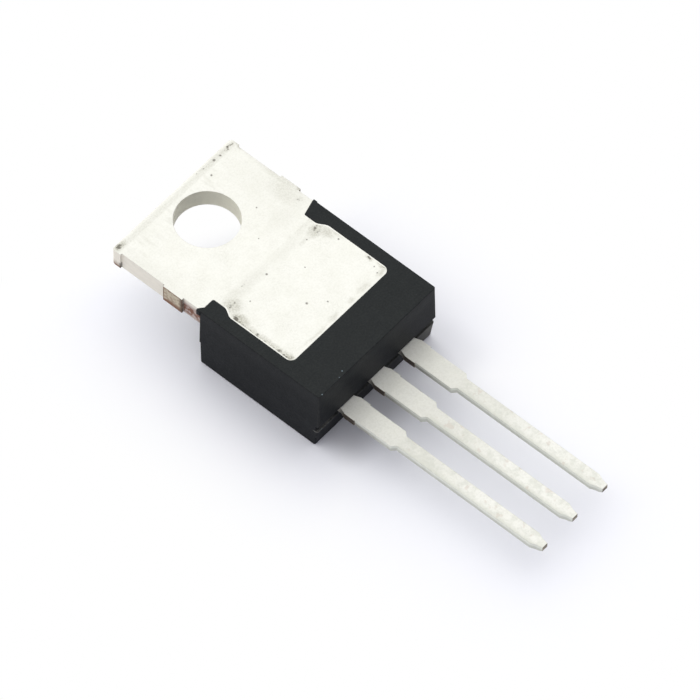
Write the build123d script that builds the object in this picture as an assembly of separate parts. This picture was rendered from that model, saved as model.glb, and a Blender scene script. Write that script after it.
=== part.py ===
from build123d import *
from math import radians, tan
import os

# Low-dropout voltage regulator in a three-lead power package, in millimetres.
# The origin is on the axis of the mounting hole, in the plane of the heat-sink (back) face.
# +Z leaves the back face, +Y runs to the tab's free end, -Y along the leads and X across them.
# Seen with the back face up and the leads towards the viewer, the input lead is on the right.

# Tab, stamped from the thick gauge of a copper strip
tab_thickness = 1.28
tab_width = 9.68
hole_diameter = 3.82
hole_to_tab_end = 2.7
exposed_tab_length = 6.47
tab_corner_radius = 0.3
tab_end_roll = 0.2
neck_cover = 0.12

# Cut ends of the tie bars that joined neighbouring tabs in the strip
tie_bar_proud = 0.12
end_tie_bar_length = 0.68
tie_bar_gap = 3.15
body_tie_bar_length = 1.37

# Window of bare metal in the moulding's back face, and the coined ledge that the moulding grips
window_length = 5.99
window_margin = 0.82
window_corner_radius = 0.4
ear_width = 1.145
ear_length = 0.92
ear_corner_radius = 0.12
ear_blend_length = 0.55
ear_blend_radius = 0.5
ear_lip_length = 0.25
left_lip_slope = 0.3
right_lip_slope = 0.9
ear_lip_proud = 0.05
ledge_depth = 0.38
ledge_width = 0.3

# Moulded body, in two halves that meet in the plane of the leads
body_length = 8.73
body_width = 9.86
back_half_depth = 2.9
front_half_depth = 1.92
back_side_draft = 1.0
back_end_draft = 1.7
back_corner_radius = 0.1
back_end_chamfer = 0.1
front_side_draft = 0.3
front_end_draft = 8.0
front_tab_side_draft = 1.2
front_end_setback = 0.04
front_corner_radius = 0.12
front_edge_radius = 0.1
groove_depth = 0.25
groove_clearance = 0.05

# Leads, stamped from the thin gauge of the same strip
lead_pitch = 2.54
lead_thickness = 0.45
lead_length = 14.17
lead_root_width = 1.14
lead_wide_width = 1.3
lead_narrow_width = 0.84
dam_bar_start = 0.38
dam_bar_length = 0.7
dam_bar_proud = 0.06
shoulder_start = 3.68
shoulder_length = 0.23
tip_length = 0.74
tip_point_length = 0.4
tip_point_width = 0.56
tip_end_width = 0.42
tip_chamfer = 0.12

# Bond posts of the outer leads, and the fold of the centre lead down from the tab
post_length = 1.7
post_to_body_end = 0.9
post_to_centre_lead = 0.7
post_side_cover = 1.05
post_corner_radius = 0.2
fold_start = 0.15
fold_run = 0.9
fold_radius = 0.5
fold_root = 0.9

# Silicon die on its solder, and the wires bonded to it
die_width = 2.4
die_length = 2.0
die_thickness = 0.28
die_to_pad_end = 1.05
solder_thickness = 0.05
solder_margin = 0.1
power_wire_diameter = 0.3
ground_wire_diameter = 0.15
ground_wire_span = 2.0
wire_foot_length = 0.5
wire_edge_margin = 0.3
wire_loop_rise = 0.5
wire_seat = 0.35

# Planes and edges that several pieces share
body_face = hole_to_tab_end - exposed_tab_length
body_end = body_face - body_length
parting_plane = -back_half_depth
front_face = parting_plane - front_half_depth
lead_front = parting_plane - lead_thickness
pad_end = body_face - window_length - ledge_width
neck_width = body_width - 2 * neck_cover
ear_gap = body_width - 2 * ear_width
window_width = body_width - 2 * window_margin
pad_width = window_width + 2 * ledge_width
die_seat = -tab_thickness - solder_thickness
die_front = die_seat - die_thickness
die_y = pad_end + die_to_pad_end + die_length / 2
post_inner = lead_root_width / 2 + post_to_centre_lead
post_outer = body_width / 2 - post_side_cover
post_start = body_end + post_to_body_end + post_length
tip_y = body_end - lead_length
stub_width = tab_width + 2 * tie_bar_proud


def inset(depth, angle):
    """How far a drafted wall has moved in after a depth."""
    return depth * tan(radians(angle))


def slab(outline, top, bottom):
    """Outline drawn in plan, made solid between two heights."""
    return extrude(Pos(0, 0, top) * outline, amount=top - bottom, dir=(0, 0, -1))


def symmetric_outline(centre_x, stations):
    """Face with mirrored edges, from the width at each distance along Y."""
    right = [(centre_x + width / 2, y) for y, width in stations]
    left = [(centre_x - width / 2, y) for y, width in reversed(stations)]
    return make_face(Polyline(*right, *left, close=True))


def tab_outline():
    """Plan of the bare tab: two pairs of cut tie bars and the neck that enters the body."""
    end_bar = hole_to_tab_end - end_tie_bar_length
    body_bar = end_bar - tie_bar_gap
    neck = body_bar - body_tie_bar_length
    stations = [
        (hole_to_tab_end, stub_width),
        (end_bar, stub_width),
        (end_bar, tab_width),
        (body_bar, tab_width),
        (body_bar, stub_width),
        (neck, stub_width),
        (neck, neck_width),
        (body_face, neck_width),
    ]
    face = symmetric_outline(0, stations)
    return fillet(face.vertices().group_by(Axis.Y)[-1], tab_corner_radius)


def tab_side_profile():
    """Side view of the tab, with the back edge of its free end rolled over by the shear."""
    centre = Pos(hole_to_tab_end - exposed_tab_length / 2, -tab_thickness / 2)
    face = Plane.YZ * centre * Rectangle(exposed_tab_length, tab_thickness)
    corner = face.vertices().group_by(Axis.Y)[-1].sort_by(Axis.Z)[-1]
    return fillet(corner, tab_end_roll)


def window_outline():
    """Bare metal in the back face, waisted between the two ears of the moulding."""
    end = body_face - window_length
    ear = body_face - ear_length
    right = [
        (ear_gap / 2, body_face),
        (ear_gap / 2, ear),
        (window_width / 2, ear - ear_blend_length),
        (window_width / 2, end),
    ]
    left = [(-x, y) for x, y in reversed(right)]
    blend = [0, ear_blend_radius, ear_blend_radius, window_corner_radius]
    return make_face(FilletPolyline(*right, *left, radius=blend + blend[::-1], close=True))


def ear_lips():
    """Shallow lips of the moulding over the tab's neck, rising towards the ears' outer corners."""
    outer = body_width / 2 - inset(back_half_depth, back_side_draft) + ear_lip_proud
    inner = neck_width / 2
    lip = body_face + ear_lip_length
    right = [(inner - right_lip_slope, body_face), (inner, lip), (outer, lip), (outer, body_face)]
    left = [(left_lip_slope - inner, body_face), (-inner, lip), (-outer, lip), (-outer, body_face)]
    lips = make_face(Polyline(*right, close=True)) + make_face(Polyline(*left, close=True))
    return slab(lips, 0, -ledge_depth)


def pad():
    """Metal inside the body: the window, and the wider ledge coined back from it."""
    length = body_face - pad_end
    ledge = Pos(0, body_face - length / 2) * Rectangle(pad_width, length)
    return slab(window_outline(), 0, -ledge_depth) + slab(ledge, -ledge_depth, -tab_thickness)


def fold():
    """Strip that carries the centre lead from the pad's front side down to the lead plane."""
    high = lead_thickness / 2 - tab_thickness
    low = parting_plane - lead_thickness / 2
    top = pad_end - fold_start
    foot = top - fold_run
    path = FilletPolyline(
        (0, pad_end + fold_root, high),
        (0, top, high),
        (0, foot, low),
        (0, foot - fold_root, low),
        radius=fold_radius,
    )
    section = Plane(path @ 0, x_dir=(1, 0, 0), z_dir=path % 0) * Rectangle(lead_root_width, lead_thickness)
    return sweep(section, path), foot - fold_root


def lead_outline(centre_x, start_y):
    """Plan of a lead from inside the body to its tip, with the cut ends of the dam bar."""
    dam_start = body_end - dam_bar_start
    dam_end = dam_start - dam_bar_length
    dam_width = lead_wide_width + 2 * dam_bar_proud
    shoulder = body_end - shoulder_start
    stations = [
        (start_y, lead_root_width),
        (body_end, lead_root_width),
        (dam_start, dam_width),
        (dam_end, dam_width),
        (dam_end, lead_wide_width),
        (shoulder, lead_wide_width),
        (shoulder - shoulder_length, lead_narrow_width),
        (tip_y + tip_length, lead_narrow_width),
        (tip_y + tip_point_length, tip_point_width),
        (tip_y, tip_end_width),
    ]
    return symmetric_outline(centre_x, stations)


def lead_blade(outline):
    """Lead of the thin gauge, with the tip coined to a point on its front side."""
    blade = slab(outline, parting_plane, lead_front)
    tip_edge = blade.edges().group_by(Axis.Y)[0].sort_by(Axis.Z)[0]
    return chamfer(tip_edge, tip_chamfer, 2 * tip_chamfer)


def heatsink_tab():
    """Tab, pad, fold and centre lead, all one piece of copper."""
    plate = slab(tab_outline(), 0, -tab_thickness) & extrude(tab_side_profile(), amount=stub_width, both=True)
    strip, lead_start = fold()
    plate += pad()
    neck_corners = plate.edges().filter_by(Axis.Z).filter_by_position(Axis.Y, body_face, body_face)
    plate = fillet(neck_corners.group_by(Axis.Z)[-1], ear_corner_radius)
    tab = plate + strip + lead_blade(lead_outline(0, lead_start))
    return tab - Cylinder(hole_diameter / 2, 3 * tab_thickness) - ear_lips()


def outer_lead(side):
    """Lead with its bond post inside the body, on the +X side (1) or the -X side (-1)."""
    width = post_outer - post_inner
    post = Pos(side * (post_inner + width / 2), post_start - post_length / 2)
    plan = lead_outline(side * lead_pitch, post_start - post_length / 2)
    return lead_blade(post * RectangleRounded(width, post_length, post_corner_radius) + plan)


def solder():
    """Die-attach solder on the front side of the pad."""
    plan = Rectangle(die_width + 2 * solder_margin, die_length + 2 * solder_margin)
    return slab(Pos(0, die_y) * plan, -tab_thickness, die_seat)


def die():
    """Silicon die on the solder."""
    return slab(Pos(0, die_y) * Rectangle(die_width, die_length), die_seat, die_front)


def bond_wire(diameter, start, end, crest):
    """Wire with a flattened foot at each end and a level crest, its bends mitred."""
    start, end = Vector(start), Vector(end)
    lift = Vector(0, 0, -diameter * wire_seat)
    along = Vector(end.X - start.X, end.Y - start.Y, 0)
    foot = along.normalized() * wire_foot_length
    rise = along.normalized() * (along.length - 2 * wire_foot_length) / 4
    heel, toe = start + lift + foot, end + lift - foot
    path = Polyline(
        start + lift,
        heel,
        Vector(heel.X, heel.Y, crest) + rise,
        Vector(toe.X, toe.Y, crest) - rise,
        toe,
        end + lift,
    )
    section = Plane(path @ 0, z_dir=path % 0) * Circle(diameter / 2)
    return sweep(section, path, transition=Transition.RIGHT)


def power_wire(side):
    """Wire from the die to the post of the outer lead on one side."""
    die_x = side * (die_width / 2 - wire_edge_margin)
    post_x = side * (post_inner + post_outer) / 2
    start = (die_x, die_y + wire_foot_length / 2, die_front)
    end = (post_x, post_start - post_length + wire_edge_margin, lead_front)
    return bond_wire(power_wire_diameter, start, end, lead_front - wire_loop_rise)


def ground_wire():
    """Thin wire from the die to the pad beside it, on the tab's side."""
    start_y = die_y + die_length / 2 - wire_edge_margin - wire_foot_length
    start = (0, start_y, die_front)
    end = (0, start_y + ground_wire_span, -tab_thickness)
    return bond_wire(ground_wire_diameter, start, end, die_front - wire_loop_rise)


def body_section(z, width, tab_side, lead_side):
    """Rectangular section of the moulding at a height."""
    return Pos(0, (tab_side + lead_side) / 2, z) * Rectangle(width, tab_side - lead_side)


def upright_edges(solid):
    """Edges of a half that run from its parting plane to its outer face."""
    return solid.edges().filter_by(lambda edge: abs(edge.tangent_at(0.5).Z) > 0.9)


def back_half():
    """Half of the moulding round the pad, up to the plane of the leads."""
    side = inset(back_half_depth, back_side_draft)
    end = body_end + inset(back_half_depth, back_end_draft)
    outer = body_section(0, body_width - 2 * side, body_face, end)
    parting = body_section(parting_plane, body_width, body_face, body_end)
    half = loft([outer, parting])
    half = chamfer(half.edges().group_by(Axis.Z)[0].sort_by(Axis.Y)[0], back_end_chamfer)
    return fillet(upright_edges(half).group_by(Axis.Y)[0], back_corner_radius)


def front_half():
    """Half of the moulding over the die, with its drafts, rounded corners and edges."""
    end = body_end + front_end_setback
    far_end = end + inset(front_half_depth, front_end_draft)
    far_face = body_face - inset(front_half_depth, front_tab_side_draft)
    side = inset(front_half_depth, front_side_draft)
    parting = body_section(parting_plane, body_width, body_face, end)
    outer = body_section(front_face, body_width - 2 * side, far_face, far_end)
    half = loft([parting, outer])
    half = fillet(upright_edges(half), front_corner_radius)
    return fillet(half.faces().sort_by(Axis.Z)[0].edges(), front_edge_radius)


def moulded_body(contents):
    """Epoxy moulding, with the groove under the dam bar and room for all that it encloses."""
    groove = Pos(0, body_end) * Rectangle(2 * body_width, 2 * groove_depth)
    groove = slab(groove, parting_plane, lead_front - groove_clearance)
    body = back_half() + front_half() + ear_lips() - groove
    for piece in contents:
        body -= piece
    return body


def build():
    """Every piece, by its name."""
    tab = heatsink_tab()
    leads = {"input_lead": outer_lead(1), "output_lead": outer_lead(-1)}
    chip = {"silicon_die": die(), "die_attach_solder": solder()}
    wires = {
        "input_bond_wire": power_wire(1),
        "output_bond_wire": power_wire(-1),
        "ground_bond_wire": ground_wire(),
    }
    seats = [tab, chip["silicon_die"], *leads.values()]
    for name in wires:
        for seat in seats:
            wires[name] = wires[name] - seat
    pieces = {"heatsink_tab": tab} | leads | chip | wires
    return pieces | {"moulded_body": moulded_body(pieces.values())}


os.makedirs("parts", exist_ok=True)
for name, piece in build().items():
    export_step(piece, f"parts/{name}.step")
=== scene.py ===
import math

import bpy
from mathutils import Matrix, Vector


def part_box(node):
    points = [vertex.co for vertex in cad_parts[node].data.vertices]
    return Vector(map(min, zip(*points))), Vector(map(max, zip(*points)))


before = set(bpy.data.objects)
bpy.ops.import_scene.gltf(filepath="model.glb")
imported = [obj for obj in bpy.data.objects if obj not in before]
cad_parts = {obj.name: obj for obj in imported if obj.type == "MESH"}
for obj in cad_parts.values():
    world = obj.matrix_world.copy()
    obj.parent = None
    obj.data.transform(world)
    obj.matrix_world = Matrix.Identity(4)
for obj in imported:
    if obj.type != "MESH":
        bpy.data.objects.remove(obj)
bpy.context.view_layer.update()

# Lengths below are in millimetres on the object, with the hole's axis as the origin,
# +Y towards the tab's free end and +Z out of the back face.
MM = 0.001
BODY_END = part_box("moulded_body")[0][1] / MM
FRONT_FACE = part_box("moulded_body")[0][2] / MM
LEAD_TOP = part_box("input_lead")[1][2] / MM
BODY_FACE = -3.77
TAB_HALF_WIDTH = 4.84
HOLE_RADIUS = 1.91
LEAD_PITCH = 2.54
LEAD_SHOULDER = -16.3

# Camera: where it stands, its roll, and its sideways shift from the origin
AZIMUTH, ELEVATION, ROLL = math.radians(-50.261), math.radians(56.0), math.radians(1.38)
DISTANCE, SHIFT_RIGHT, SHIFT_UP = 496.856, -7.876, 7.207
LENS, SENSOR = 462.857143, 36

# Light: a tent that is dim and faintly blue behind the leads, and bright and warm behind the tab
DIM = (0.22, 0.22, 0.28)
BRIGHT = (1.70, 1.69, 1.62)
BRIGHT_FROM = (0.3, 0.7, 0.5)

# Colours of the tin plate and of the copper's cut faces, linear
TIN = (0.93, 0.93, 0.88)
TIN_CLOUDY = (0.86, 0.86, 0.79)
TIN_GRAINY = (0.6, 0.6, 0.53)
# Tones along the leads, painted paler at the root and towards the tips as painted light
LEAD_ROOT_PAINTED_LIGHT = (0.93, 0.93, 0.88)
LEAD_TIN = (0.785, 0.785, 0.735)
LEAD_TIP_PAINTED_LIGHT = (0.90, 0.90, 0.855)
# Dull blotches on the leads, and painted shade along their -X edges
LEAD_DULL_AND_EDGE_SHADE = (0.58, 0.60, 0.53)
LEAD_STAIN = (0.56, 0.45, 0.37)
LEAD_SIDE = (0.84, 0.86, 0.78)
LEAD_SHEARED = (0.14, 0.13, 0.10)
DAM_BAR_CUT = (0.07, 0.053, 0.038)
TIP_CUT = (0.10, 0.08, 0.06)
TIP_CUT_PALE = (0.30, 0.26, 0.20)
OXIDE = (0.42, 0.41, 0.33)
DIRT = (0.06, 0.048, 0.033)
COPPER = (0.22, 0.11, 0.065)
CUT_FACE = (0.86, 0.82, 0.73)
HOLE_WALL = (0.76, 0.745, 0.64)
STUB_CUT = (0.56, 0.50, 0.38)
NECK_CUT = (0.50, 0.42, 0.38)
RUST = (0.21, 0.085, 0.05)

# Colours of the moulding and of the table
EPOXY = (0.0065, 0.0075, 0.0094)
# Paler tone of the moulding, for its grain and for painted light on the top face and the sheen
EPOXY_GRAIN_AND_PAINTED_LIGHT = (0.0265, 0.0298, 0.0305)
# Painted reflection and painted highlights on the moulding's lead end and its lip
EPOXY_PAINTED_REFLECTION = (0.075, 0.074, 0.067)
LIP_PAINTED_HIGHLIGHT = (0.16, 0.16, 0.15)
FILLER = (0.09, 0.092, 0.095)
PALE_SPOT = (0.20, 0.26, 0.30)
TABLE = (0.91, 0.92, 0.99)
# Painted shade on the table under and beside the leads
TABLE_PAINTED_SHADE = (0.64, 0.645, 0.70)


class Graph:
    """Short way to wire up a material; its place output is in millimetres on the object."""

    def __init__(self, name):
        self.material = bpy.data.materials.new(name)
        self.material.use_nodes = True
        self.tree = self.material.node_tree
        self.shader = self.tree.nodes["Principled BSDF"]
        coordinates = self.tree.nodes.new("ShaderNodeTexCoord")
        self.place = self.vector("MULTIPLY", coordinates.outputs["Object"], (1 / MM,) * 3)
        self.x, self.y, self.z = self.split(self.place)
        _, self.normal_y, self.normal_z = self.split(coordinates.outputs["Normal"])

    def put(self, socket, value):
        """Link an output to a socket, or set the socket to a constant."""
        if isinstance(value, bpy.types.NodeSocket):
            self.tree.links.new(value, socket)
        else:
            socket.default_value = value

    def node(self, kind, inputs, **settings):
        item = self.tree.nodes.new(kind)
        for key, value in settings.items():
            setattr(item, key, value)
        for key, value in inputs.items():
            self.put(item.inputs[key], value)
        return item

    def split(self, vector):
        return self.node("ShaderNodeSeparateXYZ", {0: vector}).outputs

    def vector(self, operation, *values):
        item = self.node("ShaderNodeVectorMath", dict(enumerate(values)), operation=operation)
        return item.outputs["Value" if operation in ("LENGTH", "DISTANCE") else "Vector"]

    def math(self, operation, *values):
        return self.node("ShaderNodeMath", dict(enumerate(values)), operation=operation).outputs[0]

    def times(self, *values):
        result = values[0]
        for value in values[1:]:
            result = self.math("MULTIPLY", result, value)
        return result

    def most(self, values):
        result = values[0]
        for value in values[1:]:
            result = self.math("MAXIMUM", result, value)
        return result

    def step(self, value, start, end, low=0.0, high=1.0):
        """Smooth change from low to high while the value goes from start to end."""
        inputs = {"Value": value, "From Min": start, "From Max": end, "To Min": low, "To Max": high}
        return self.node("ShaderNodeMapRange", inputs, interpolation_type="SMOOTHSTEP").outputs[0]

    def band(self, value, start, end, soft):
        """1 between start and end, with soft edges."""
        rise = self.step(value, start - soft, start + soft)
        return self.math("MULTIPLY", rise, self.step(value, end - soft, end + soft, 1.0, 0.0))

    def noise(self, scale, detail=2.0, stretch=(1, 1, 1), seed=0.0):
        """Noise between 0 and 1 with its features 1/scale mm apart."""
        place = self.vector("MULTIPLY_ADD", self.place, stretch, (seed, seed, seed))
        inputs = {"Vector": place, "Scale": scale, "Detail": detail}
        return self.node("ShaderNodeTexNoise", inputs).outputs[0]

    def blend(self, factor, first, second):
        """Colour that goes from first to second."""
        inputs = {0: factor, 6: first, 7: second}
        for key in (6, 7):
            if not isinstance(inputs[key], bpy.types.NodeSocket):
                inputs[key] = (*inputs[key], 1)
        return self.node("ShaderNodeMix", inputs, data_type="RGBA").outputs[2]

    def bump(self, height, depth, rounding=0.0):
        """Normal roughened by a height whose full range is a depth, with the edges rounded."""
        inputs = {"Height": height, "Distance": depth * MM}
        if rounding:
            bevel = self.node("ShaderNodeBevel", {"Radius": rounding * MM}, samples=8)
            inputs["Normal"] = bevel.outputs[0]
        return self.node("ShaderNodeBump", inputs).outputs[0]

    def finish(self, **inputs):
        """Set the shader's sockets, with spaces for underscores, and hand over the material."""
        for key, value in inputs.items():
            self.put(self.shader.inputs[key.replace("_", " ")], value)
        return self.material


def blot(graph, place, x, y, half_width, half_length, strength):
    """Soft oval stain on the back face, with a ragged edge where the place wobbles."""
    offset = graph.vector("SUBTRACT", place, (x, y, 0))
    oval = graph.vector("MULTIPLY", offset, (1 / half_width, 1 / half_length, 0))
    return graph.step(graph.vector("LENGTH", oval), 1.3, 0.2, 0.0, strength)


def speck(graph, place, x, y, radius):
    """Small round spot on the back face."""
    return blot(graph, place, x, y, radius, radius, 1.0)


# Pale spots on the moulding's back face, as x, y and radius
BODY_SPECKS = [(-2.69, -12.18, 0.045), (-3.11, -12.34, 0.03), (-4.58, -12.38, 0.045)]

# Soft haze on the tab, as x, y, half width, half length and strength
HAZES = [
    (-2.8, -4.45, 0.9, 0.5, 0.24),
    (3.3, 2.38, 2.2, 0.24, 0.35),
    (4.45, 2.36, 0.6, 0.24, 0.5),
    (2.3, 2.45, 0.6, 0.14, 0.35),
    (-2.0, 2.36, 3.2, 0.22, 0.22),
    (-4.5, 2.42, 0.65, 0.3, 0.6),
    (4.92, 1.98, 0.2, 0.4, 0.5),
    (4.8, -1.3, 0.4, 2.2, 0.35),
    (4.9, -2.38, 0.22, 0.3, 0.6),
    (4.4, -2.95, 0.35, 0.25, 0.35),
    (-4.6, -0.2, 0.6, 3.2, 0.12),
    (3.6, -0.4, 1.8, 2.8, 0.09),
    (-1.8, -4.5, 2.3, 0.5, 0.2),
    (1.5, -4.55, 2.0, 0.45, 0.14),
    (4.3, -2.0, 1.0, 1.8, 0.28),
    (2.9, -3.0, 1.3, 1.0, 0.14),
    (-3.4, -4.85, 0.65, 0.7, 0.6),
    (3.4, -4.95, 0.7, 0.5, 0.6),
    (3.7, -5.5, 0.4, 0.65, 0.5),
    (2.4, -4.95, 0.6, 0.16, 0.25),
    (-3.85, -5.75, 0.42, 0.7, 0.8),
    (-3.98, -7.6, 0.26, 2.4, 0.5),
    (-3.92, -9.35, 0.28, 0.6, 0.7),
    (-1.9, -9.55, 1.1, 0.17, 0.32),
    (-0.3, -9.5, 0.5, 0.22, 0.36),
    (1.15, -9.5, 0.35, 0.2, 0.36),
    (2.3, -9.45, 0.6, 0.27, 0.36),
    (3.7, -9.52, 0.5, 0.2, 0.4),
    (3.97, -8.4, 0.16, 0.32, 0.55),
    (4.0, -9.3, 0.16, 0.4, 0.55),
    (4.0, -6.0, 0.14, 0.6, 0.35),
]
# Broken crumbs of dirt on the tab, in the same order
CRUMBS = [
    (4.45, 2.35, 0.5, 0.13, 0.85),
    (2.3, 2.45, 0.55, 0.08, 0.5),
    (-4.6, 2.42, 0.3, 0.16, 0.9),
    (-4.62, 2.62, 0.18, 0.06, 0.8),
    (4.92, -2.38, 0.13, 0.22, 0.6),
    (4.35, -2.95, 0.22, 0.12, 0.5),
    (-3.92, -5.6, 0.26, 0.45, 0.8),
    (-4.04, -6.9, 0.1, 1.4, 0.6),
    (-4.02, -8.9, 0.11, 1.0, 0.7),
    (-3.95, -9.55, 0.22, 0.2, 0.65),
    (3.5, -4.85, 0.35, 0.22, 0.55),
    (3.4, -5.2, 0.2, 0.25, 0.5),
    (-3.5, -4.85, 0.35, 0.25, 0.42),
    (3.98, -8.4, 0.1, 0.22, 0.85),
    (4.03, -9.3, 0.07, 0.4, 0.6),
    (-2.2, -4.34, 1.1, 0.16, 0.25),
]
# Dark pits in the tab, as x, y and radius
SPECKS = [
    (2.38, 1.80, 0.07),
    (2.40, -1.50, 0.055),
    (0.90, -2.95, 0.045),
    (-0.60, -4.87, 0.08),
    (-2.55, -5.38, 0.05),
    (1.15, -6.15, 0.05),
    (3.80, -6.30, 0.07),
    (-3.92, -7.15, 0.09),
    (-0.60, -7.80, 0.09),
    (0.25, -8.57, 0.06),
    (3.70, -8.98, 0.05),
    (3.50, -9.37, 0.05),
    (3.25, 2.36, 0.10),
    (3.72, 2.32, 0.08),
    (3.50, -4.85, 0.11),
    (2.60, -5.02, 0.055),
    (-3.60, -4.80, 0.06),
    (-3.20, -4.82, 0.05),
]


def tab_wear(g):
    """How dirty and how hazed the back face is, with a clean rim round the window."""
    inputs = {"Vector": g.place, "Scale": 3.0, "Detail": 4.0}
    ragged = g.node("ShaderNodeTexNoise", inputs).outputs["Color"]
    shift = g.vector("SUBTRACT", ragged, (0.5,) * 3)
    wobble = g.vector("MULTIPLY_ADD", shift, (0.4, 0.4, 0), g.place)
    tremble = g.vector("MULTIPLY_ADD", shift, (0.1, 0.1, 0), g.place)
    fine = g.noise(6.0, 6.0, seed=3.1)
    crumbs = g.most([blot(g, wobble, *crumb) for crumb in CRUMBS])
    broken = g.step(g.math("MULTIPLY_ADD", crumbs, 0.45, fine), 0.66, 0.95)
    specks = g.most([speck(g, tremble, *item) for item in SPECKS])
    dirt = g.math("MAXIMUM", g.times(g.step(crumbs, 0.0, 0.3), broken), specks)

    clouds = g.step(g.noise(1.1, 4.0, seed=7.7), 0.35, 0.75)
    gritty = g.step(g.noise(11.0, 4.0, seed=6.2), 0.32, 0.68)
    streaks = g.noise(1.0, 4.0, stretch=(4.5, 0.9, 1.0), seed=2.3)
    hazes = g.most([blot(g, wobble, *haze) for haze in HAZES])
    across_neck = g.times(g.step(g.y, -4.08, -4.22), g.step(g.y, -5.1, -4.2))
    along_end = g.band(g.y, 2.14, 2.5, 0.08)
    beside_hole = g.band(g.y, 0.7, 2.2, 0.6)
    haze = g.most([
        g.times(hazes, g.step(gritty, 0.0, 1.0, 0.6, 1.1)),
        g.times(
            across_neck,
            g.step(clouds, 0.0, 1.0, 0.08, 0.22),
            g.step(gritty, 0.0, 1.0, 0.5, 1.2),
        ),
        g.times(along_end, g.step(gritty, 0.0, 1.0, 0.12, 0.26)),
        g.times(beside_hole, g.step(streaks, 0.42, 0.68, 0.0, 0.15)),
        g.times(clouds, gritty, 0.14),
    ])

    edge = g.step(g.y, -4.65, -5.3, 3.785, 4.11)
    beyond = g.step(g.math("SUBTRACT", g.math("ABSOLUTE", g.x), edge), -0.085, -0.05)
    rim = g.most([
        g.times(beyond, g.step(g.y, -4.4, -4.7)),
        g.step(g.y, -9.68, -9.71),
    ])
    inside = g.math("SUBTRACT", 1.0, rim)
    return g.times(dirt, inside), g.times(haze, inside)


def plated_face(g, on_tab, up):
    """Tin plate on the flat faces, with the tab's wear, the leads' dull and stained places, painted
    shade along the leads' -X edges, and painted light at their roots and tips.
    """
    # Painted light: the leads are painted paler at the root and towards the tips than in between
    far = g.blend(g.step(g.y, -18.0, -22.5), LEAD_TIN, LEAD_TIP_PAINTED_LIGHT)
    lead = g.blend(g.step(g.y, -13.8, -12.9), far, LEAD_ROOT_PAINTED_LIGHT)
    tone = g.blend(on_tab, lead, TIN)
    cloudy = g.blend(g.step(g.noise(0.9, 4.0), 0.35, 0.7, 0.0, 0.35), tone, TIN_CLOUDY)
    grain = g.noise(9.0, 4.0, seed=1.3)
    grainy = g.step(grain, 0.35, 0.75, 0.0, g.step(on_tab, 1.0, 0.0, 0.16, 0.26))
    colour = g.blend(grainy, cloudy, TIN_GRAINY)

    narrow = g.step(g.y, LEAD_SHOULDER + 0.1, LEAD_SHOULDER - 0.4)
    across = g.math("WRAP", g.x, LEAD_PITCH / 2, -LEAD_PITCH / 2)
    ragged = g.math("MULTIPLY_ADD", g.noise(1.6, 3.0, seed=4.2), 0.3, across)
    # Painted shade along each lead's -X edge, mixed with random dull blotches
    edge = g.step(ragged, 0.06, -0.3, 0.0, 0.55)
    blotch = g.step(g.noise(2.4, 5.0, seed=8.1), 0.42, 0.66, 0.0, 0.36)
    stain = g.step(g.noise(2.0, 6.0, seed=3.3), 0.59, 0.68, 0.0, 0.28)
    colour = g.blend(g.times(narrow, g.math("MAXIMUM", edge, blotch)), colour, LEAD_DULL_AND_EDGE_SHADE)
    colour = g.blend(g.times(narrow, stain), colour, LEAD_STAIN)

    dirt, haze = tab_wear(g)
    colour = g.blend(g.times(haze, up, on_tab), colour, OXIDE)
    colour = g.blend(g.times(dirt, up, on_tab, 0.76), colour, DIRT)
    return colour, dirt, grain


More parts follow.
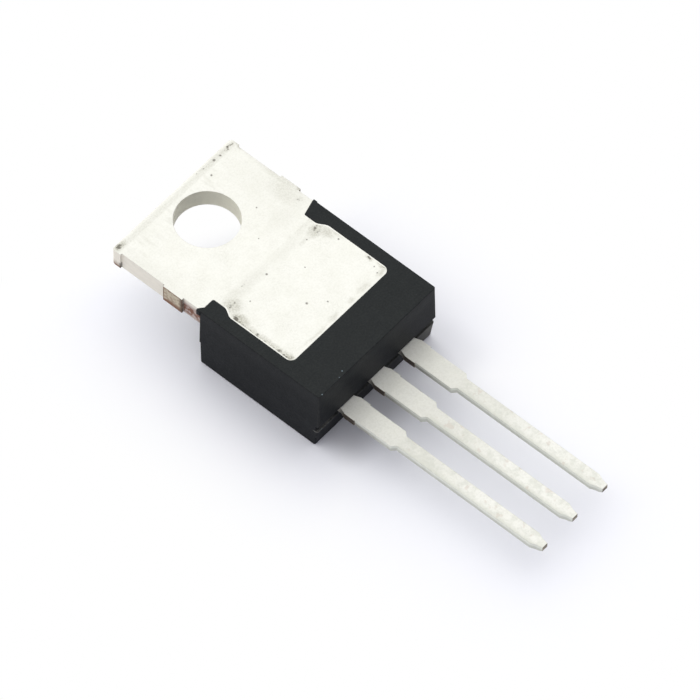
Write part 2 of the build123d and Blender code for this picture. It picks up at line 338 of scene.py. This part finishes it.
def cut_face(g, on_tab):
    """Sides of the tab and the leads: cut copper, smeared with tin and framed by bare copper."""
    off_tab = g.math("SUBTRACT", 1.0, on_tab)
    distance = g.math("ABSOLUTE", g.x)
    smear = g.noise(2.2, 4.0, stretch=(1.0, 0.6, 2.0), seed=9.4)
    from_hole = g.vector("LENGTH", g.vector("MULTIPLY", g.place, (1, 1, 0)))
    in_hole = g.step(from_hole, HOLE_RADIUS + 0.29, HOLE_RADIUS + 0.19)
    colour = g.blend(on_tab, LEAD_SIDE, g.blend(in_hole, CUT_FACE, HOLE_WALL))
    colour = g.blend(g.step(smear, 0.35, 0.7, 0.03, 0.12), colour, OXIDE)

    # Tie-bar ends at the tab's free end and next to the moulding, and the neck between ear and tab
    stub = g.step(distance, TAB_HALF_WIDTH + 0.05, TAB_HALF_WIDTH + 0.1)
    body_stub = g.times(stub, g.step(g.y, -1.0, -1.1))
    end_stub = g.times(stub, g.step(g.y, 1.9, 2.05))
    neck = g.band(g.y, BODY_FACE - 0.1, -2.5, 0.03)
    blotchy = g.step(g.noise(5.0, 4.0, seed=2.7), 0.42, 0.62)
    colour = g.blend(body_stub, colour, g.blend(g.times(blotchy, 0.5), STUB_CUT, COPPER))
    colour = g.blend(g.times(neck, g.step(g.z, -0.1, -0.4)), colour, NECK_CUT)
    low = g.times(stub, g.step(g.z, -0.7, -1.15), g.step(g.y, 0.5, -0.5, 0.45, 1.0))
    rusty = g.step(g.noise(3.5, 4.0, seed=6.6), 0.38, 0.56)
    copper_line = g.most([
        g.times(low, g.step(smear, 0.36, 0.5)),
        g.times(neck, g.band(g.z, -1.15, -0.45, 0.12), rusty),
    ])
    colour = g.blend(copper_line, colour, g.blend(neck, COPPER, RUST))
    framed = g.most([
        g.step(g.z, -0.12, -0.04),
        g.step(g.z, -1.1, -1.2),
        g.step(g.y, -1.24, -1.16),
        g.step(g.y, -2.4, -2.46),
    ])
    outline = g.most([
        g.times(body_stub, framed),
        g.times(end_stub, g.most([g.step(g.z, -1.08, -1.18), g.step(g.y, 2.55, 2.66)])),
    ])
    colour = g.blend(g.times(outline, g.step(smear, 0.25, 0.5, 0.3, 0.9)), colour, COPPER)
    outward = g.step(distance, TAB_HALF_WIDTH - 0.4, TAB_HALF_WIDTH - 0.2)
    stub_ends = g.most([
        g.times(g.band(g.y, 1.98, 2.1, 0.04), g.step(g.z, -0.5, -0.9)),
        g.band(g.y, -1.16, -1.04, 0.03),
        g.band(g.y, -2.54, -2.34, 0.04),
    ])
    colour = g.blend(g.times(outward, stub_ends, g.step(smear, 0.3, 0.5), 0.6), colour, DIRT)

    # Leads: dark sheared edge below, dam bars' cut faces, and cut tips
    sheared = g.times(
        off_tab,
        g.step(g.z, LEAD_TOP - 0.12, LEAD_TOP - 0.3),
        g.step(g.y, BODY_END - 3.6, BODY_END - 0.9, 0.3, 0.66),
    )
    dam_bar = g.band(g.y, BODY_END - 1.08, BODY_END + 0.2, 0.02)
    tip = g.step(g.normal_y, -0.9, -0.97)
    colour = g.blend(sheared, colour, LEAD_SHEARED)
    colour = g.blend(g.times(off_tab, dam_bar), colour, DAM_BAR_CUT)
    tip_colour = g.blend(g.step(smear, 0.35, 0.6), TIP_CUT, TIP_CUT_PALE)
    return g.blend(g.times(off_tab, tip), colour, tip_colour)


def tin_material():
    """Matt tin plate over copper: the tab with its wear, its bare cut faces, and the leads."""
    g = Graph("tinned_copper")
    up = g.step(g.normal_z, 0.6, 0.85)
    down = g.step(g.normal_z, -0.6, -0.85)
    side = g.math("SUBTRACT", 1.0, g.math("MAXIMUM", up, down))
    on_tab = g.step(g.y, BODY_END - 0.5, BODY_END + 0.5)
    flat, dirt, grain = plated_face(g, on_tab, up)

    dirty = g.times(dirt, up)
    rough = g.step(g.math("MAXIMUM", dirty, g.times(side, 0.6)), 0.0, 1.0, 0.42, 0.75)
    rough = g.math("ADD", rough, g.step(grain, 0.2, 0.8, -0.05, 0.08))
    bare = g.math("MAXIMUM", g.times(dirty, on_tab), g.times(side, 0.5))
    drawn = g.noise(1.0, 3.0, stretch=(7.0, 0.5, 7.0), seed=5.0)
    marks = g.times(drawn, g.step(up, 0.0, 1.0, 0.05, 0.5))
    pitted = g.math("SUBTRACT", g.times(grain, 0.5), g.times(dirt, 1.5))
    return g.finish(
        Base_Color=g.blend(side, flat, cut_face(g, on_tab)),
        Roughness=rough,
        Metallic=g.step(bare, 0.1, 0.8, 0.55, 0.1),
        Normal=g.bump(g.math("ADD", marks, pitted), 0.012, 0.06),
    )


def epoxy_material():
    """Black moulding compound, grained by the mould and paler where its fillers show, with painted
    light: a paler top face and a painted sheen below the top edges.
    """
    g = Graph("moulding")
    up = g.step(g.normal_z, 0.6, 0.9)
    grain = g.noise(8.0, 5.0, seed=2.0)
    coarse = g.noise(1.6, 4.0, seed=4.0)
    # Painted light: the top face is painted paler than the sides, and a painted sheen runs just below
    # the top edges
    painted_sheen = g.band(g.z, -0.95, -0.1, 0.35)
    pale = g.math("MAXIMUM", g.times(up, 0.6), g.times(painted_sheen, 0.18))
    patchy = g.math(
        "MULTIPLY_ADD",
        g.step(grain, 0.35, 0.65),
        0.2,
        g.step(coarse, 0.4, 0.7, 0.0, 0.1),
    )
    colour = g.blend(g.math("ADD", pale, patchy), EPOXY, EPOXY_GRAIN_AND_PAINTED_LIGHT)

    # Painted light on the front half's lead end: a painted reflection towards its +X end, a painted
    # highlight along its lip, and painted highlights on the corners above it
    below = g.times(g.step(g.z, -3.36, -3.42), g.step(g.y, BODY_END + 0.5, BODY_END + 0.3))
    # Painted highlight along the lip's edge, broken by the grain
    painted_lip_highlight = g.times(
        g.band(g.z, -3.47, -3.38, 0.02),
        g.step(grain, 0.3, 0.6, 0.4, 1.0),
        g.step(g.x, -3.2, -3.9, 0.35, 1.0),
    )
    # Painted highlight on the vertical corners above the lead end
    painted_corner_highlight = g.times(
        g.step(g.math("ABSOLUTE", g.x), 4.78, 4.86),
        g.step(g.y, BODY_END + 0.2, BODY_END + 0.1),
        g.step(g.z, -3.0, -2.8),
        0.12,
    )
    # Painted reflection towards the +X end of the lead end, together with the corner highlights
    painted_reflection_and_highlight = g.math("MAXIMUM", g.times(below, g.step(g.x, 2.6, 4.6)), painted_corner_highlight)
    colour = g.blend(painted_reflection_and_highlight, colour, EPOXY_PAINTED_REFLECTION)
    colour = g.blend(g.times(below, painted_lip_highlight), colour, LIP_PAINTED_HIGHLIGHT)

    filler = g.step(g.noise(22.0, 1.0, seed=8.0), 0.66, 0.74)
    colour = g.blend(g.times(filler, g.step(up, 0.0, 1.0, 0.1, 0.35)), colour, FILLER)
    spots = g.most([speck(g, g.place, *item) for item in BODY_SPECKS])
    grained = g.times(grain, g.step(up, 0.0, 1.0, 0.35, 1.0))
    return g.finish(
        Base_Color=g.blend(g.times(spots, up), colour, PALE_SPOT),
        Roughness=g.step(up, 0.0, 1.0, 0.55, 0.68),
        Specular_IOR_Level=0.10,
        Normal=g.bump(g.math("ADD", grained, g.times(coarse, 0.2)), 0.03, 0.08),
    )


def plain_metal(name, colour, pale, roughness, scale):
    """Fine-grained metal or silicon for the pieces inside the moulding."""
    g = Graph(name)
    grain = g.noise(scale, 3.0)
    return g.finish(
        Base_Color=g.blend(g.step(grain, 0.3, 0.7), colour, pale),
        Roughness=g.step(grain, 0.3, 0.7, roughness - 0.06, roughness + 0.06),
        Metallic=1.0,
        Normal=g.bump(grain, 0.004),
    )


def camera():
    """Long-lens camera that looks down on the back face from beside the leads."""
    back = Vector((
        math.sin(AZIMUTH) * math.cos(ELEVATION),
        -math.cos(AZIMUTH) * math.cos(ELEVATION),
        math.sin(ELEVATION),
    ))
    level = Vector((math.cos(AZIMUTH), math.sin(AZIMUTH), 0))
    upright = back.cross(level)
    right = math.cos(ROLL) * level + math.sin(ROLL) * upright
    up = -math.sin(ROLL) * level + math.cos(ROLL) * upright
    data = bpy.data.cameras.new("camera")
    data.sensor_width = SENSOR
    data.lens = LENS
    data.clip_start, data.clip_end = 0.01, 10
    item = bpy.data.objects.new("camera", data)
    bpy.context.scene.collection.objects.link(item)
    place = (DISTANCE * back - SHIFT_RIGHT * right - SHIFT_UP * up) * MM
    turn = Matrix((right, up, back)).transposed().to_4x4()
    item.matrix_world = Matrix.Translation(place) @ turn
    bpy.context.scene.camera = item


def mix_shaders(tree, factor, first, second):
    """Output of a mix of two shader outputs."""
    mix = tree.nodes.new("ShaderNodeMixShader")
    for socket, output in zip(mix.inputs, (factor, first, second)):
        tree.links.new(output, socket)
    return mix.outputs[0]


def seen_as_white(tree):
    """1 for rays from the camera and in reflections, which see a plain white background."""
    path = tree.nodes.new("ShaderNodeLightPath")
    seen = path.outputs["Is Camera Ray"]
    for ray in ("Is Glossy Ray", "Is Transmission Ray"):
        either = tree.nodes.new("ShaderNodeMath")
        either.operation = "MAXIMUM"
        tree.links.new(seen, either.inputs[0])
        tree.links.new(path.outputs[ray], either.inputs[1])
        seen = either.outputs[0]
    return seen


def tent():
    """Tent of soft light all round, brighter behind the tab, that shows as plain white."""
    world = bpy.data.worlds.new("tent")
    bpy.context.scene.world = world
    world.use_nodes = True
    tree = world.node_tree
    direction = tree.nodes.new("ShaderNodeTexCoord").outputs["Generated"]
    towards = tree.nodes.new("ShaderNodeVectorMath")
    towards.operation = "DOT_PRODUCT"
    towards.inputs[1].default_value = Vector(BRIGHT_FROM).normalized()
    tree.links.new(direction, towards.inputs[0])
    level = tree.nodes.new("ShaderNodeMapRange")
    level.interpolation_type = "SMOOTHSTEP"
    level.inputs["From Min"].default_value = -0.5
    tree.links.new(towards.outputs["Value"], level.inputs["Value"])
    shade = tree.nodes.new("ShaderNodeMix")
    shade.data_type = "RGBA"
    shade.inputs[6].default_value = (*DIM, 1)
    shade.inputs[7].default_value = (*BRIGHT, 1)
    tree.links.new(level.outputs[0], shade.inputs[0])
    light = tree.nodes["Background"]
    tree.links.new(shade.outputs[2], light.inputs["Color"])
    white = tree.nodes.new("ShaderNodeBackground")
    white.inputs["Color"].default_value = (1, 1, 1, 1)
    shown = mix_shaders(tree, seen_as_white(tree), light.outputs[0], white.outputs[0])
    tree.links.new(shown, tree.nodes["World Output"].inputs["Surface"])


def beside(g, x, y, half_width, half_length):
    """Distance of each place from a rectangle on the table."""
    offset = g.vector("ABSOLUTE", g.vector("SUBTRACT", g.place, (x, y, 0)))
    over = g.vector("MAXIMUM", g.vector("SUBTRACT", offset, (half_width, half_length, 0)), (0, 0, 0))
    return g.vector("LENGTH", g.vector("MULTIPLY", over, (1, 1, 0)))


def floor():
    """Pale table that keeps the object's shadow, with painted shade under and beside the leads next to
    the moulding, and fades to plain white away from it.
    """
    bpy.ops.mesh.primitive_plane_add(size=2, location=(0, 0, (FRONT_FACE - 0.01) * MM))
    table = bpy.context.object
    table.name = "floor"
    g = Graph("floor")
    # Painted shade on the table under the leads and beside them, next to the moulding's lead end
    under_leads = g.step(beside(g, -1.7, -13.0, 1.8, 0.5), 0.0, 2.0)
    beyond_leads = g.step(beside(g, 4.6, -13.8, 0.6, 0.8), 0.0, 2.0, 0.72, 1.0)
    lit = g.math("MINIMUM", under_leads, beyond_leads)
    g.finish(
        Base_Color=g.blend(lit, TABLE_PAINTED_SHADE, TABLE),
        Roughness=0.9,
        Specular_IOR_Level=0.0,
    )
    from_body, from_leads = beside(g, 0, -4.9, 4.9, 7.6), beside(g, -1.0, -19.6, 2.0, 7.1)
    clear = g.step(g.math("MINIMUM", from_body, from_leads), 0.2, 8.2)
    sunward = g.step(g.math("MULTIPLY_ADD", g.x, 0.6, g.y), -0.6, 3.2)
    away = g.times(g.math("MAXIMUM", clear, sunward), seen_as_white(g.tree))
    white = g.tree.nodes.new("ShaderNodeEmission")
    shown = mix_shaders(g.tree, away, g.shader.outputs[0], white.outputs[0])
    g.tree.links.new(shown, g.tree.nodes["Material Output"].inputs["Surface"])
    table.data.materials.append(g.material)


def dress():
    """Give every node of the model its material."""
    tin = tin_material()
    wire = plain_metal("bond_wire", (0.78, 0.78, 0.79), (0.87, 0.87, 0.88), 0.25, 25.0)
    others = {
        "moulded_body": epoxy_material(),
        "silicon_die": plain_metal("silicon", (0.17, 0.18, 0.21), (0.24, 0.25, 0.28), 0.3, 20.0),
        "die_attach_solder": plain_metal("solder", (0.47, 0.47, 0.48), (0.58, 0.58, 0.58), 0.45, 12.0),
    }
    for name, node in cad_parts.items():
        node.data.materials.clear()
        node.data.materials.append(others.get(name, wire if name.endswith("wire") else tin))


bpy.context.scene.view_settings.view_transform = "Standard"
camera()
tent()
floor()
dress()
